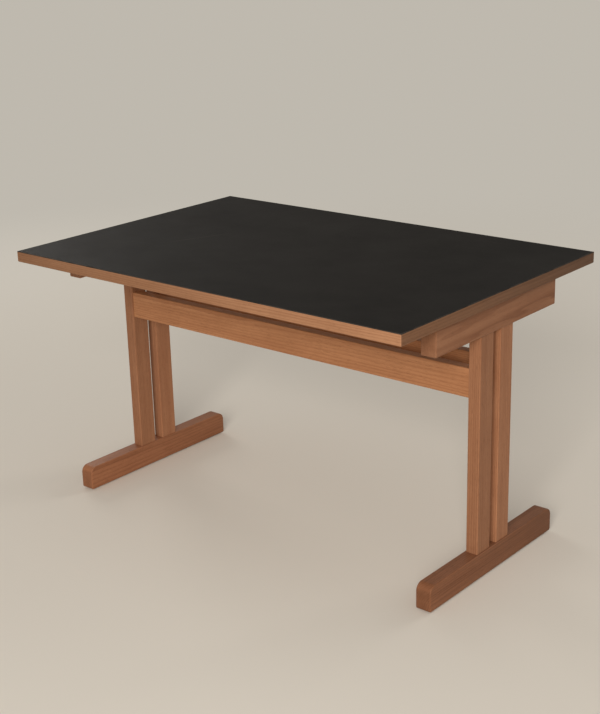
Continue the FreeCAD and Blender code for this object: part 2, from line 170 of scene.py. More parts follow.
class DeskColours(PropertyGroup):
    """Colours of the finishes."""

    frame_light: colour_setting("Frame wood", "Early wood of bearers and uprights", (0.40, 0.187, 0.097))
    frame_dark: colour_setting("Frame grain", "Late wood of bearers and uprights", (0.23, 0.089, 0.041))
    rail_light: colour_setting("Rail wood", "Early wood of the rails", (0.47, 0.217, 0.102))
    rail_dark: colour_setting("Rail grain", "Late wood of the rails", (0.285, 0.112, 0.048))
    foot_light: colour_setting("Foot wood", "Early wood of the feet", (0.34, 0.144, 0.071))
    foot_dark: colour_setting("Foot grain", "Late wood of the feet", (0.18, 0.066, 0.030))
    edge_light: colour_setting("Lipping wood", "Early wood of the lippings", (0.33, 0.166, 0.088))
    edge_dark: colour_setting("Lipping grain", "Late wood of the lippings", (0.195, 0.085, 0.040))
    dowel_light: colour_setting("Dowel wood", "Early wood of the dowels", (0.62, 0.46, 0.29))
    dowel_dark: colour_setting("Dowel grain", "Late wood of the dowels", (0.45, 0.30, 0.17))
    core_light: colour_setting("Core chips", "Pale chips of the core board", (0.60, 0.46, 0.30))
    core_dark: colour_setting("Core glue", "Glue and dark chips of the core board", (0.33, 0.22, 0.12))
    backing_light: colour_setting("Backing", "Balancing sheet under the core", (0.27, 0.18, 0.115))
    backing_dark: colour_setting("Backing streaks", "Streaks of the balancing sheet", (0.17, 0.105, 0.065))
    sheet: colour_setting("Sheet", "Black linoleum of the top", (0.0088, 0.0079, 0.0075))
    sheet_fleck: colour_setting("Sheet flecks", "Flecks in the linoleum", (0.0215, 0.0193, 0.0180))
    sheet_rubbed: colour_setting("Rubbed sheet", "Rubbed edge of the linoleum", (0.075, 0.060, 0.050))
    steel: colour_setting("Steel", "Zinc plated screws, washers and nails", (0.56, 0.56, 0.54))
    steel_dull: colour_setting("Dull steel", "Steel where the plating has dulled", (0.33, 0.32, 0.30))
    plastic: colour_setting("Glide", "Plastic of the glides", (0.060, 0.048, 0.040))
    plastic_scuffed: colour_setting("Scuffed glide", "Glides scuffed by the floor", (0.14, 0.12, 0.10))


class DeskSizes(PropertyGroup):
    """Sizes of the wood's figure and of the hardware."""

    ring_spacing: length_setting("Ring spacing", "Distance between growth rings", 0.0042)
    worn_edge: length_setting("Worn edge", "Width of the rubbed strip along an arris", 0.004)
    head_height: length_setting("Head height", "Height of a screw's head", 0.0034)
    shank_radius: length_setting("Shank radius", "Radius of a screw's plain shank", 0.0024)
    core_radius: length_setting("Core radius", "Radius of a screw under its thread", 0.0017)
    thread_pitch: length_setting("Thread pitch", "Rise of the thread in one turn", 0.0022)
    thread_length: length_setting("Thread length", "Length of a screw that is threaded", 0.0242)
    point_length: length_setting("Point length", "Length of a screw's point", 0.0042)
    slot_width: length_setting("Slot width", "Width of the slot in a screw's head", 0.0013)
    slot_depth: length_setting("Slot depth", "Depth of the slot in a screw's head", 0.0014)
    washer_bore: length_setting("Washer bore", "Radius of a washer's hole", 0.0030)
    washer_rim: length_setting("Washer rim", "Rounding of a washer's edges", 0.00018)
    glide_height: length_setting("Glide height", "Height of a glide under the foot", 0.003)
    glide_rim: length_setting("Glide rim", "Rounding of a glide's lower rim", 0.0016)
    recess_radius: length_setting("Recess radius", "Radius of the recess for a nail's head", 0.0044)
    recess_depth: length_setting("Recess depth", "Depth of the recess for a nail's head", 0.0012)
    nail_head: length_setting("Nail head", "Radius of a nail's head", 0.0037)
    nail_head_height: length_setting("Nail head height", "Height of a nail's head", 0.0009)
    nail_dome: length_setting("Nail dome", "Rounding of a nail's head", 0.0006)
    nail_radius: length_setting("Nail radius", "Radius of a nail's shank", 0.00125)


class DeskStage(PropertyGroup):
    """Floor, lamps and camera."""

    floor: colour_setting("Floor", "Colour of the floor", (0.83, 0.775, 0.69))
    backdrop: colour_setting("Backdrop", "Colour seen beyond the floor", (0.52, 0.485, 0.425))
    floor_radius: length_setting("Floor radius", "Distance at which the floor has faded out", 4.2)
    ambient: FloatProperty(
        name="Ambient", description="Strength of the light from all round", default=0.32, min=0.0,
    )
    key_power: power_setting("Key lamp", "Power of the low front lamp", 264.0)
    fill_power: power_setting("Fill lamp", "Power of the lamp on the left", 46.0)
    back_power: power_setting("Back lamp", "Power of the lamp behind the desk", 44.0)
    camera_place: FloatVectorProperty(
        name="Camera", description="Place of the camera",
        default=(2.09738, -2.48162, 1.52259), subtype="TRANSLATION",
    )
    camera_heading: angle_setting("Heading", "Turn of the camera about the vertical", 40.28)
    camera_dip: angle_setting("Dip", "Angle by which the camera looks down", 18.70)
    camera_roll: angle_setting("Roll", "Tilt of the camera about its own line of sight", -1.57)
    camera_lens: FloatProperty(
        name="Lens", description="Focal length in millimetres", default=67.767, unit="CAMERA", min=1.0,
    )


# Shader nodes

def new_node(tree, kind, inputs=None, **settings):
    """Node of a kind, whose inputs are plain values or the sockets that feed them."""
    node = tree.nodes.new(kind)
    for name, value in settings.items():
        setattr(node, name, value)
    for name, value in (inputs or {}).items():
        if isinstance(value, bpy.types.NodeSocket):
            tree.links.new(value, node.inputs[name])
        else:
            node.inputs[name].default_value = value
    return node


def maths(tree, operation, *values, clamp=False):
    """Result of one step of arithmetic on numbers."""
    node = new_node(tree, "ShaderNodeMath", dict(enumerate(values)), operation=operation, use_clamp=clamp)
    return node.outputs[0]


def vector_maths(tree, operation, *values):
    """Result of one step of arithmetic on vectors."""
    node = new_node(tree, "ShaderNodeVectorMath", dict(enumerate(values)), operation=operation)
    return node.outputs[0]


def vector_length(tree, vector):
    """Length of a vector."""
    return new_node(tree, "ShaderNodeVectorMath", {0: vector}, operation="LENGTH").outputs["Value"]


def vector_parts(tree, vector):
    """X, Y and Z of a vector."""
    return new_node(tree, "ShaderNodeSeparateXYZ", {0: vector}).outputs


def smooth_step(tree, value, start, end, low=0.0, high=1.0):
    """Value eased from low to high while the input goes from start to end."""
    inputs = {0: value, 1: start, 2: end, 3: low, 4: high}
    node = new_node(tree, "ShaderNodeMapRange", inputs, interpolation_type="SMOOTHSTEP")
    return node.outputs[0]


def span(tree, value, low, high):
    """Value from 0 to 1 spread evenly from low to high."""
    return new_node(tree, "ShaderNodeMapRange", {0: value, 3: low, 4: high}).outputs[0]


def blend(tree, factor, first, second, how="MIX"):
    """Two colours blended by a factor."""
    inputs = {0: factor, 6: first, 7: second}
    node = new_node(tree, "ShaderNodeMix", inputs, data_type="RGBA", blend_type=how)
    return node.outputs[2]


def lay_over(tree, base, colour, mask, strength):
    """Colour laid over a base where a mask shows, at a share of its full strength."""
    return blend(tree, maths(tree, "MULTIPLY", mask, strength), base, colour)


def noise(tree, vector, scale, detail, roughness, stretch=None):
    """Smooth noise, drawn out where a stretch of the pattern is given."""
    if stretch is not None:
        vector = vector_maths(tree, "MULTIPLY", vector, stretch)
    inputs = {"Vector": vector, "Scale": scale, "Detail": detail, "Roughness": roughness}
    return new_node(tree, "ShaderNodeTexNoise", inputs).outputs[0]


def solid_colour(colour):
    """Colour with full alpha."""
    return (*colour, 1.0)


# Shared effects

def new_group(name, inputs, outputs):
    """Empty shader node group with named sockets, and the sockets inside it."""
    tree = bpy.data.node_groups.new(name, "ShaderNodeTree")
    for label, kind in inputs:
        tree.interface.new_socket(label, in_out="INPUT", socket_type=f"NodeSocket{kind}")
    for label, kind in outputs:
        tree.interface.new_socket(label, in_out="OUTPUT", socket_type=f"NodeSocket{kind}")
    entry = tree.nodes.new("NodeGroupInput")
    result = tree.nodes.new("NodeGroupOutput")
    return tree, entry.outputs, result.inputs


def board_grain_group():
    """Growth rings round the heart of a tree, with streaks, fibres and pores along the Z axis."""
    name = "Board grain"
    if name in bpy.data.node_groups:
        return bpy.data.node_groups[name]
    inputs = [("Vector", "Vector"), ("Ring Spacing", "Float"), ("Light", "Color"), ("Dark", "Color")]
    outputs = [("Colour", "Color"), ("Roughness", "Float"), ("Height", "Float")]
    tree, given, result = new_group(name, inputs, outputs)
    place = given["Vector"]
    x, y, _ = vector_parts(tree, place)
    across = new_node(tree, "ShaderNodeCombineXYZ", {0: x, 1: y}).outputs[0]
    radius = vector_length(tree, across)
    waver = noise(tree, place, scale=11.0, detail=3.0, roughness=0.55, stretch=(1.0, 1.0, 0.07))
    bent = maths(tree, "MULTIPLY_ADD", waver, 0.030, radius)
    count = maths(tree, "DIVIDE", bent, given["Ring Spacing"])
    ring = maths(tree, "FRACT", count)
    number = maths(tree, "FLOOR", count)
    late = maths(tree, "MULTIPLY", smooth_step(tree, ring, 0.35, 0.93), smooth_step(tree, ring, 1.0, 0.95))
    chance = new_node(tree, "ShaderNodeTexWhiteNoise", {"W": number}, noise_dimensions="1D")
    late = maths(tree, "MULTIPLY", late, span(tree, chance.outputs["Value"], 0.45, 1.0))
    streaks = noise(tree, place, scale=60.0, detail=3.0, roughness=0.6, stretch=(1.0, 1.0, 0.045))
    fibres = noise(tree, place, scale=800.0, detail=2.0, roughness=0.6, stretch=(1.0, 1.0, 0.025))
    holes = noise(tree, place, scale=1500.0, detail=1.0, roughness=0.4, stretch=(1.0, 1.0, 0.045))
    pores = smooth_step(tree, holes, 0.60, 0.70)
    shade = maths(tree, "MULTIPLY_ADD", late, 0.50, span(tree, streaks, -0.32, 0.72))
    shade = maths(tree, "ADD", shade, span(tree, fibres, -0.14, 0.14), clamp=True)
    colour = blend(tree, shade, given["Light"], given["Dark"])
    pore_dark = blend(tree, 0.55, given["Dark"], (0.02, 0.01, 0.006, 1.0))
    colour = lay_over(tree, colour, pore_dark, pores, strength=0.45)
    tree.links.new(colour, result["Colour"])
    rough = maths(tree, "ADD", span(tree, streaks, 0.36, 0.46), span(tree, pores, 0.0, 0.16))
    tree.links.new(rough, result["Roughness"])
    height = maths(tree, "SUBTRACT", span(tree, fibres, 0.0, 0.35), pores)
    height = maths(tree, "MULTIPLY_ADD", late, 0.25, height)
    tree.links.new(height, result["Height"])
    return tree


def bar_edges_group():
    """Mask of the strip along the edges of a straight bar, broken up as hands and feet rub it."""
    name = "Bar edges"
    if name in bpy.data.node_groups:
        return bpy.data.node_groups[name]
    inputs = [("Vector", "Vector"), ("Middle", "Vector"), ("Half Size", "Vector"), ("Width", "Float")]
    tree, given, result = new_group(name, inputs, [("Wear", "Float")])
    offset = vector_maths(tree, "SUBTRACT", given["Vector"], given["Middle"])
    depth = vector_maths(tree, "SUBTRACT", vector_maths(tree, "ABSOLUTE", offset), given["Half Size"])
    x, y, z = vector_parts(tree, depth)
    lower = maths(tree, "MINIMUM", x, y)
    upper = maths(tree, "MAXIMUM", x, y)
    second = maths(tree, "MAXIMUM", lower, maths(tree, "MINIMUM", upper, z))
    distance = maths(tree, "MULTIPLY", second, -1.0)
    patches = noise(tree, given["Vector"], scale=26.0, detail=4.0, roughness=0.65)
    reach = maths(tree, "MULTIPLY", given["Width"], smooth_step(tree, patches, 0.30, 0.72, 0.15, 1.6))
    share = maths(tree, "DIVIDE", distance, reach)
    tree.links.new(smooth_step(tree, share, 1.0, 0.15), result["Wear"])
    return tree


def handling_group():
    """Soft smudges and fine crossing scratches of a surface in use."""
    name = "Handling"
    if name in bpy.data.node_groups:
        return bpy.data.node_groups[name]
    inputs = [("Vector", "Vector"), ("Scale", "Float")]
    tree, given, result = new_group(name, inputs, [("Smudges", "Float"), ("Scratches", "Float")])
    place = vector_maths(tree, "SCALE", given["Vector"])
    tree.links.new(given["Scale"], place.node.inputs["Scale"])
    cloud = noise(tree, place, scale=5.0, detail=5.0, roughness=0.62)
    tree.links.new(smooth_step(tree, cloud, 0.33, 0.70), result["Smudges"])
    marks = None
    for turn, shift in ((0.4, 0.0), (1.5, 3.7), (2.5, 8.1)):
        mapping = {"Vector": place, "Rotation": (0.0, 0.0, turn), "Location": (shift, shift, 0.0)}
        turned = new_node(tree, "ShaderNodeMapping", mapping).outputs[0]
        line = noise(tree, turned, scale=90.0, detail=2.0, roughness=0.5, stretch=(1.0, 0.02, 1.0))
        fine = smooth_step(tree, line, 0.735, 0.765)
        marks = fine if marks is None else maths(tree, "MAXIMUM", marks, fine)
    tree.links.new(marks, result["Scratches"])
    return tree


# Materials

def socket_name(keyword):
    """Name of a socket from a keyword, such as Ring Spacing from ring_spacing."""
    return keyword.replace("_", " ").title().replace("Ior", "IOR")


def new_material(name, **plain):
    """Material with a Principled shader, whose plain values are set on its own sockets."""
    material = bpy.data.materials.new(name)
    material.use_nodes = True
    tree = material.node_tree
    shader = tree.nodes["Principled BSDF"]
    for keyword, value in plain.items():
        shader.inputs[socket_name(keyword)].default_value = value
    place = tree.nodes.new("ShaderNodeTexCoord").outputs["Object"]
    return material, tree, shader, place


def place_group(tree, group, **inputs):
    """Outputs of a group node in a material, with its inputs set or linked."""
    named = {socket_name(keyword): value for keyword, value in inputs.items()}
    return new_node(tree, "ShaderNodeGroup", named, node_tree=group).outputs


def edge_wear(tree, place, low, high, width):
    """Mask of the worn edges of a bar that fills a box."""
    wear = place_group(
        tree, bar_edges_group(), vector=place,
        middle=(low + high) / 2, half_size=(high - low) / 2, width=width,
    )
    return wear["Wear"]


def link_surface(tree, shader, colour, rough, height, strength, distance):
    """Colour, roughness and a bump from a height, linked to the shader."""
    bump = new_node(tree, "ShaderNodeBump", {"Strength": strength, "Distance": distance, "Height": height})
    tree.links.new(colour, shader.inputs["Base Color"])
    tree.links.new(rough, shader.inputs["Roughness"])
    tree.links.new(bump.outputs[0], shader.inputs["Normal"])


def box_corners(node):
    """Lowest and highest corner of a node of the frame."""
    return [Vector(corner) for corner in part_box(node)]


def painted_drift_and_end_grain(tree, place, run, low, high, painted_drift_ends, end_grain_and_shade):
    """Tone that changes evenly from one end of a board to the other as painted light and shade, and again
    on its end grain, which is darker partly by its own tone and partly as painted shade.
    """
    axis = "XYZ".index(run)
    reach = vector_parts(tree, place)[axis]
    inputs = {0: reach, 1: low[axis], 2: high[axis], 3: painted_drift_ends[0], 4: painted_drift_ends[1]}
    # Painted light and shade: the board turns paler or darker from its low end to its high end
    painted_drift = new_node(tree, "ShaderNodeMapRange", inputs).outputs[0]
    half = (high[axis] - low[axis]) / 2
    from_middle = maths(tree, "ABSOLUTE", maths(tree, "SUBTRACT", reach, low[axis] + half))
    # End grain darker, partly by its own tone and partly as painted shade
    ends = smooth_step(tree, from_middle, half - END_GRAIN_FADE, half, 1.0, end_grain_and_shade)
    return maths(tree, "MULTIPLY", painted_drift, ends)


def wood_material(node, run, light, dark, sizes, end_grain_and_shade):
    """Wood of one board, its grain along the board and its rings round a heart of its own, with painted
    light and shade drifting along it.
    """
    chance = random.Random(node)
    low, high = box_corners(node)
    turn = GRAIN_TURNS[run]
    angle = chance.uniform(0.0, 2 * math.pi)
    reach = chance.uniform(*HEART_REACH)
    shift = Vector((reach * math.cos(angle), reach * math.sin(angle), chance.uniform(*FIGURE_SHIFT)))
    shift -= turn.to_matrix() @ ((low + high) / 2)
    tone = chance.uniform(*TONE_SPREAD)
    material, tree, shader, place = new_material(f"{node}_wood", specular_ior_level=0.1)
    turned = new_node(tree, "ShaderNodeMapping", {"Vector": place, "Rotation": turn, "Location": shift})
    grain = place_group(
        tree, board_grain_group(), vector=turned.outputs[0], ring_spacing=sizes.ring_spacing,
        light=solid_colour(tone * channel for channel in light),
        dark=solid_colour(tone * channel for channel in dark),
    )
    wear = edge_wear(tree, place, low, high, sizes.worn_edge)
    marks = place_group(tree, handling_group(), vector=place, scale=2.0)
    rubbed = solid_colour(min(1.0, RUBBED_WOOD * channel) for channel in light)
    worn = blend(tree, 0.45, grain["Colour"], rubbed)
    colour = lay_over(tree, grain["Colour"], worn, wear, strength=0.55)
    colour = lay_over(tree, colour, solid_colour(dark), marks["Smudges"], strength=0.22)
    # Painted light and shade drifting along the board, times end grain darkened partly as painted shade
    board = painted_drift_and_end_grain(tree, place, run, low, high, BOARD_TONES_AND_PAINTED_LIGHT.get(node, EVEN_TONE), end_grain_and_shade)
    colour = blend(tree, 1.0, colour, board, "MULTIPLY")
    rough = maths(tree, "MULTIPLY_ADD", marks["Smudges"], -0.06, grain["Roughness"])
    rough = maths(tree, "MULTIPLY_ADD", wear, 0.10, rough)
    link_surface(tree, shader, colour, rough, grain["Height"], strength=0.25, distance=0.0003)
    return material


def sheet_material(colours, sizes):
    """Black linoleum, matt, with fine flecks, smudges and rubbed edges."""
    low, high = box_corners("top_linoleum")
    material, tree, shader, place = new_material("black_linoleum_top", specular_ior_level=0.05)
    specks = noise(tree, place, scale=420.0, detail=3.0, roughness=0.6)
    flecks = smooth_step(tree, specks, 0.42, 0.75)
    clouds = noise(tree, place, scale=3.2, detail=4.0, roughness=0.55)
    marks = place_group(tree, handling_group(), vector=place, scale=1.0)
    wear = edge_wear(tree, place, low, high, RUBBED_SHEET * sizes.worn_edge)
    share = maths(tree, "MULTIPLY_ADD", flecks, 0.6, span(tree, clouds, -0.35, 0.85), clamp=True)
    colour = blend(tree, share, solid_colour(colours.sheet), solid_colour(colours.sheet_fleck))
    rubbed = solid_colour(colours.sheet_rubbed)
    colour = lay_over(tree, colour, rubbed, marks["Scratches"], strength=0.25)
    colour = lay_over(tree, colour, rubbed, wear, strength=0.6)
    rough = maths(tree, "MULTIPLY_ADD", flecks, 0.05, span(tree, marks["Smudges"], 0.66, 0.60))
    link_surface(tree, shader, colour, rough, flecks, strength=0.12, distance=0.0002)
    return material


def core_material(colours):
    """Raw board of pressed chips."""
    material, tree, shader, place = new_material("core_chips", specular_ior_level=0.3)
    flat = vector_maths(tree, "MULTIPLY", place, (1.0, 1.0, 3.0))
    chips = new_node(tree, "ShaderNodeTexVoronoi", {"Vector": flat, "Scale": 180.0})
    tint = new_node(tree, "ShaderNodeSeparateColor", {0: chips.outputs["Color"]}).outputs[0]
    dirt = noise(tree, place, scale=14.0, detail=4.0, roughness=0.6)
    share = maths(tree, "MULTIPLY_ADD", tint, 0.7, span(tree, dirt, -0.1, 0.4), clamp=True)
    colour = blend(tree, share, solid_colour(colours.core_light), solid_colour(colours.core_dark))
    rough = span(tree, tint, 0.62, 0.82)
    link_surface(tree, shader, colour, rough, chips.outputs["Distance"], strength=0.3, distance=0.0004)
    return material


def backing_material(colours):
    """Brown balancing sheet with fine fibres along the desk, clouded and stained."""
    material, tree, shader, place = new_material("backing_fibres", specular_ior_level=0.25)
    light = solid_colour(colours.backing_light)
    dark = solid_colour(colours.backing_dark)
    fibres = noise(tree, place, scale=700.0, detail=3.0, roughness=0.6, stretch=(0.05, 1.0, 1.0))
    streaks = noise(tree, place, scale=45.0, detail=4.0, roughness=0.6, stretch=(0.05, 1.0, 1.0))
    patches = noise(tree, place, scale=4.0, detail=5.0, roughness=0.6)
    stains = smooth_step(tree, patches, 0.40, 0.75)
    share = maths(tree, "ADD", span(tree, fibres, -0.15, 0.45), span(tree, streaks, -0.2, 0.6), clamp=True)
    colour = lay_over(tree, blend(tree, share, light, dark), dark, stains, strength=0.35)
    rough = span(tree, fibres, 0.58, 0.74)
    link_surface(tree, shader, colour, rough, fibres, strength=0.2, distance=0.0002)
    return material


def steel_material(colours):
    """Zinc plated steel, dulled in patches and finely scratched."""
    material, tree, shader, place = new_material("zinc_steel", metallic=1.0)
    clouds = noise(tree, place, scale=190.0, detail=4.0, roughness=0.6)
    patches = smooth_step(tree, clouds, 0.36, 0.70)
    specks = noise(tree, place, scale=2600.0, detail=2.0, roughness=0.5)
    marks = place_group(tree, handling_group(), vector=place, scale=16.0)
    colour = blend(tree, patches, solid_colour(colours.steel), solid_colour(colours.steel_dull))
    rough = maths(tree, "MULTIPLY_ADD", marks["Scratches"], 0.12, span(tree, patches, 0.26, 0.46))
    link_surface(tree, shader, colour, rough, specks, strength=0.10, distance=0.00005)
    return material


def plastic_material(colours):
    """Dark moulded plastic, paler and rougher where the floor has scuffed it."""
    material, tree, shader, place = new_material("glide_plastic_scuffed", specular_ior_level=0.4)
    low = smooth_step(tree, vector_parts(tree, place)[2], 0.0012, 0.0)
    clouds = noise(tree, place, scale=240.0, detail=4.0, roughness=0.65)
    scuffs = maths(tree, "MULTIPLY", low, smooth_step(tree, clouds, 0.38, 0.66))
    pimples = noise(tree, place, scale=3200.0, detail=2.0, roughness=0.5)
    colour = blend(tree, scuffs, solid_colour(colours.plastic), solid_colour(colours.plastic_scuffed))
    rough = span(tree, scuffs, 0.42, 0.74)
    link_surface(tree, shader, colour, rough, pimples, strength=0.15, distance=0.00005)
    return material


def floor_material(stage):
    """Pale floor that fades out at a distance, so that no horizon shows, and is clear from below."""
    material, tree, shader, place = new_material("pale_floor", roughness=0.9, specular_ior_level=0.0)
    shader.inputs["Base Color"].default_value = solid_colour(stage.floor)
    distance = vector_length(tree, place)
    fade = smooth_step(tree, distance, stage.floor_radius, stage.floor_radius * FLOOR_FADE)
    below = tree.nodes.new("ShaderNodeNewGeometry").outputs["Backfacing"]
    seen = tree.nodes.new("ShaderNodeLightPath").outputs["Is Camera Ray"]
    clear = maths(tree, "MULTIPLY", below, seen)
    tree.links.new(maths(tree, "SUBTRACT", fade, clear, clamp=True), shader.inputs["Alpha"])
    return material


def finish_node(node, material):
    """Gives a node of the frame its material."""
    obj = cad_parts[node]
    if not obj.material_slots:
        raise RuntimeError(f"{node} has no material slot")
    for slot in obj.material_slots:
        slot.material = material


def finish_boards(scene, nodes, run, kind, end_grain_and_shade=1.0):
    """Gives each board wood of its own in the colours of its kind, with the grain along it."""
    light = getattr(scene.desk_colours, f"{kind}_light")
    dark = getattr(scene.desk_colours, f"{kind}_dark")
    for node in nodes:
        finish_node(node, wood_material(node, run, light, dark, scene.desk_sizes, end_grain_and_shade))


# Selecting and shaping

def deselect_all():
    """Object mode with nothing selected."""
    if bpy.context.object and bpy.context.object.mode != "OBJECT":
        bpy.ops.object.mode_set(mode="OBJECT")
    bpy.ops.object.select_all(action="DESELECT")


def pick(obj):
    """The one selected object, made active."""
    deselect_all()
    obj.select_set(True)
    bpy.context.view_layer.objects.active = obj


def new_disc(name, radius, low, high, sides):
    """Upright cylinder between two heights, left in edit mode with all of it selected."""
    deselect_all()
    bpy.ops.mesh.primitive_cylinder_add(vertices=sides, radius=radius, depth=high - low)
    bpy.context.object.name = name
    bpy.ops.object.mode_set(mode="EDIT")
    bpy.ops.mesh.select_all(action="SELECT")
    bpy.ops.transform.translate(value=(0.0, 0.0, (low + high) / 2))
    return bpy.context.object


def select_faces(obj, wanted):
    """Faces selected in edit mode by a test of their middle and normal."""
    bpy.ops.mesh.select_mode(type="FACE")
    bpy.ops.mesh.select_all(action="DESELECT")
    mesh = bmesh.from_edit_mesh(obj.data)
    for face in mesh.faces:
        face.select_set(wanted(face.calc_center_median(), face.normal))
    bmesh.update_edit_mesh(obj.data)


def select_cap(obj, height, rises):
    """Flat face selected at a height that looks up or down."""
    select_faces(obj, lambda middle, normal: abs(middle.z - height) < NEAR and rises * normal.z > LEVEL)


def round_rims(obj, heights, size, segments):
    """Level edges rounded that lie at one of the heights."""
    bpy.ops.mesh.select_mode(type="EDGE")
    bpy.ops.mesh.select_all(action="DESELECT")
    mesh = bmesh.from_edit_mesh(obj.data)
    for edge in mesh.edges:
        ends = [vertex.co.z for vertex in edge.verts]
        edge.select_set(any(all(abs(end - height) < NEAR for end in ends) for height in heights))
    bmesh.update_edit_mesh(obj.data)
    bpy.ops.mesh.bevel(offset=size, segments=segments, affect="EDGES")


def step_inwards(radius, inner):
    """Selected round cap drawn in from one radius to a smaller one."""
    bpy.ops.mesh.inset(thickness=radius - inner, use_even_offset=True)


def step_along(rise, scale=1.0):
    """Selected cap extruded up or down, and narrowed where a scale is given."""
    bpy.ops.mesh.extrude_region_move(TRANSFORM_OT_translate={"value": (0.0, 0.0, rise)})
    if scale != 1.0:
        bpy.ops.transform.resize(value=(scale, scale, 1.0))


def close_shape(obj):
    """Normals turned outwards and edges smoothed by their angle, back in object mode."""
    bpy.ops.mesh.select_all(action="SELECT")
    bpy.ops.mesh.normals_make_consistent(inside=False)
    bpy.ops.object.mode_set(mode="OBJECT")
    pick(obj)
    bpy.ops.object.shade_smooth_by_angle(angle=SMOOTH_ANGLE)


def cut_slot(obj, width, low, high, reach):
    """Straight slot across a head, cut with a block that is taken away again."""
    deselect_all()
    bpy.ops.mesh.primitive_cube_add(size=1.0)
    block = bpy.context.object
    bpy.ops.object.mode_set(mode="EDIT")
    bpy.ops.transform.resize(value=(width, 2 * reach, high - low))
    bpy.ops.transform.translate(value=(0.0, 0.0, (low + high) / 2))
    bpy.ops.object.mode_set(mode="OBJECT")
    pick(obj)
    cut = obj.modifiers.new("slot", "BOOLEAN")
    cut.operation = "DIFFERENCE"
    cut.object = block
    bpy.ops.object.modifier_apply(modifier=cut.name)
    pick(block)
    bpy.ops.object.delete()


def new_thread(radius, crest, pitch, low, high):
    """Ridge that winds up a screw's core and runs out to nothing at both ends."""
    deselect_all()
    bpy.ops.mesh.primitive_circle_add(
        vertices=3, radius=crest - radius, location=(radius, 0.0, low), rotation=RIDGE_TURN,
    )
    ridge = bpy.context.object
    bpy.ops.object.transform_apply(location=True, rotation=True, scale=True)
    winding = ridge.modifiers.new("winding", "SCREW")
    winding.axis = "Z"
    winding.screw_offset = pitch
    winding.iterations = int((high - low) / pitch)
    winding.steps = THREAD_STEPS
    winding.render_steps = THREAD_STEPS
    bpy.ops.object.modifier_apply(modifier=winding.name)
    bpy.ops.object.mode_set(mode="EDIT")
    bpy.ops.mesh.select_mode(type="EDGE")
    bpy.ops.mesh.select_all(action="DESELECT")
    bpy.ops.mesh.select_non_manifold()
    bpy.ops.mesh.merge(type="COLLAPSE")
    close_shape(ridge)
    return ridge


def join_pieces(pieces, name):
    """Separate shapes joined into one piece."""
    deselect_all()
    for piece in pieces:
        piece.select_set(True)
    bpy.context.view_layer.objects.active = pieces[0]
    bpy.ops.object.join()
    pieces[0].name = name
    return pieces[0]


def copy_to(model, x, y, turn):
    """Copy of a model with a mesh of its own, turned about its axis and set at a place in plan."""
    pick(model)
    bpy.ops.object.duplicate(linked=False)
    copy = bpy.context.object
    bpy.ops.object.mode_set(mode="EDIT")
    bpy.ops.mesh.select_all(action="SELECT")
    bpy.ops.transform.rotate(value=turn, orient_axis="Z", center_override=(0.0, 0.0, 0.0))
    bpy.ops.transform.translate(value=(x, y, 0.0))
    bpy.ops.object.mode_set(mode="OBJECT")
    return copy


def row_places(node, count):
    """Middles in plan of a row of like round pieces that fills the box of a node."""
    low, high = box_corners(node)
    radius = (high.x - low.x) / 2
    step = (high.y - low.y - 2 * radius) / (count - 1)
    return [(low.x + radius, low.y + radius + number * step) for number in range(count)]


def set_rows(model, piece, node, count, material):
    """Rows of copies of a model at both ends of the desk, in place of the nodes of that name."""
    for end in ENDS:
        chance = random.Random(f"{end}_{piece}")
        places = row_places(f"{end}_{node}", count)
        copies = [copy_to(model, x, y, chance.uniform(0.0, math.pi)) for x, y in places]
        row = join_pieces(copies, f"{end}_{piece}")
        row.data.name = row.name
        row.data.materials.clear()
        row.data.materials.append(material)
        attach(row, BODY)
        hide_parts(f"{end}_{node}")
    pick(model)
    bpy.ops.object.delete()


# Stage

def set_world(scene, stage):
    """Even light from all round, and a plain pale backdrop where the camera or a gloss sees it."""
    world = bpy.data.worlds.new("studio")
    world.use_nodes = True
    tree = world.node_tree
    tree.nodes.clear()
    ambient = {"Color": solid_colour(AMBIENT_COLOUR), "Strength": stage.ambient}
    backdrop = {"Color": solid_colour(stage.backdrop), "Strength": 1.0}
    light = new_node(tree, "ShaderNodeBackground", ambient).outputs[0]
    seen = new_node(tree, "ShaderNodeBackground", backdrop).outputs[0]
    path = tree.nodes.new("ShaderNodeLightPath").outputs
    direct = maths(tree, "MAXIMUM", path["Is Camera Ray"], path["Is Glossy Ray"])
    direct = maths(tree, "MAXIMUM", direct, path["Is Transmission Ray"])
    mixed = new_node(tree, "ShaderNodeMixShader", {0: direct, 1: light, 2: seen}).outputs[0]
    new_node(tree, "ShaderNodeOutputWorld", {"Surface": mixed})
    scene.world = world


def add_lamp(name, place, size, power, colour):
    """Square lamp that faces the desk."""
    bpy.ops.object.light_add(type="AREA", location=place)
    lamp = bpy.context.object
    lamp.name = name
    lamp.rotation_euler = (Vector(LAMP_TARGET) - Vector(place)).to_track_quat("-Z", "Y").to_euler()
    lamp.data.size = size
    lamp.data.energy = power
    lamp.data.color = colour


def add_camera(scene, stage):
    """Camera of the scene at its place, turned to its heading, dipped and rolled."""
    deselect_all()
    bpy.ops.object.camera_add()
    camera = bpy.context.object
    camera.name = "camera"
    heading = Matrix.Rotation(stage.camera_heading, 4, "Z")
    dip = Matrix.Rotation(math.radians(90) - stage.camera_dip, 4, "X")
    roll = Matrix.Rotation(stage.camera_roll, 4, "Z")
    camera.matrix_world = Matrix.Translation(stage.camera_place) @ heading @ dip @ roll
    camera.data.lens = stage.camera_lens
    camera.data.clip_end = CLIP_END
    scene.camera = camera


# Operators

class DESK_OT_top(Operator):
    """Finish the black sheet, the core and the backing of the top"""

    bl_idname = "desk.top"
    bl_label = "Finish Top"

    def execute(self, context):
        colours = context.scene.desk_colours
        finish_node("top_linoleum", sheet_material(colours, context.scene.desk_sizes))
        finish_node("top_core", core_material(colours))
        finish_node("top_backing", backing_material(colours))
        return {"FINISHED"}


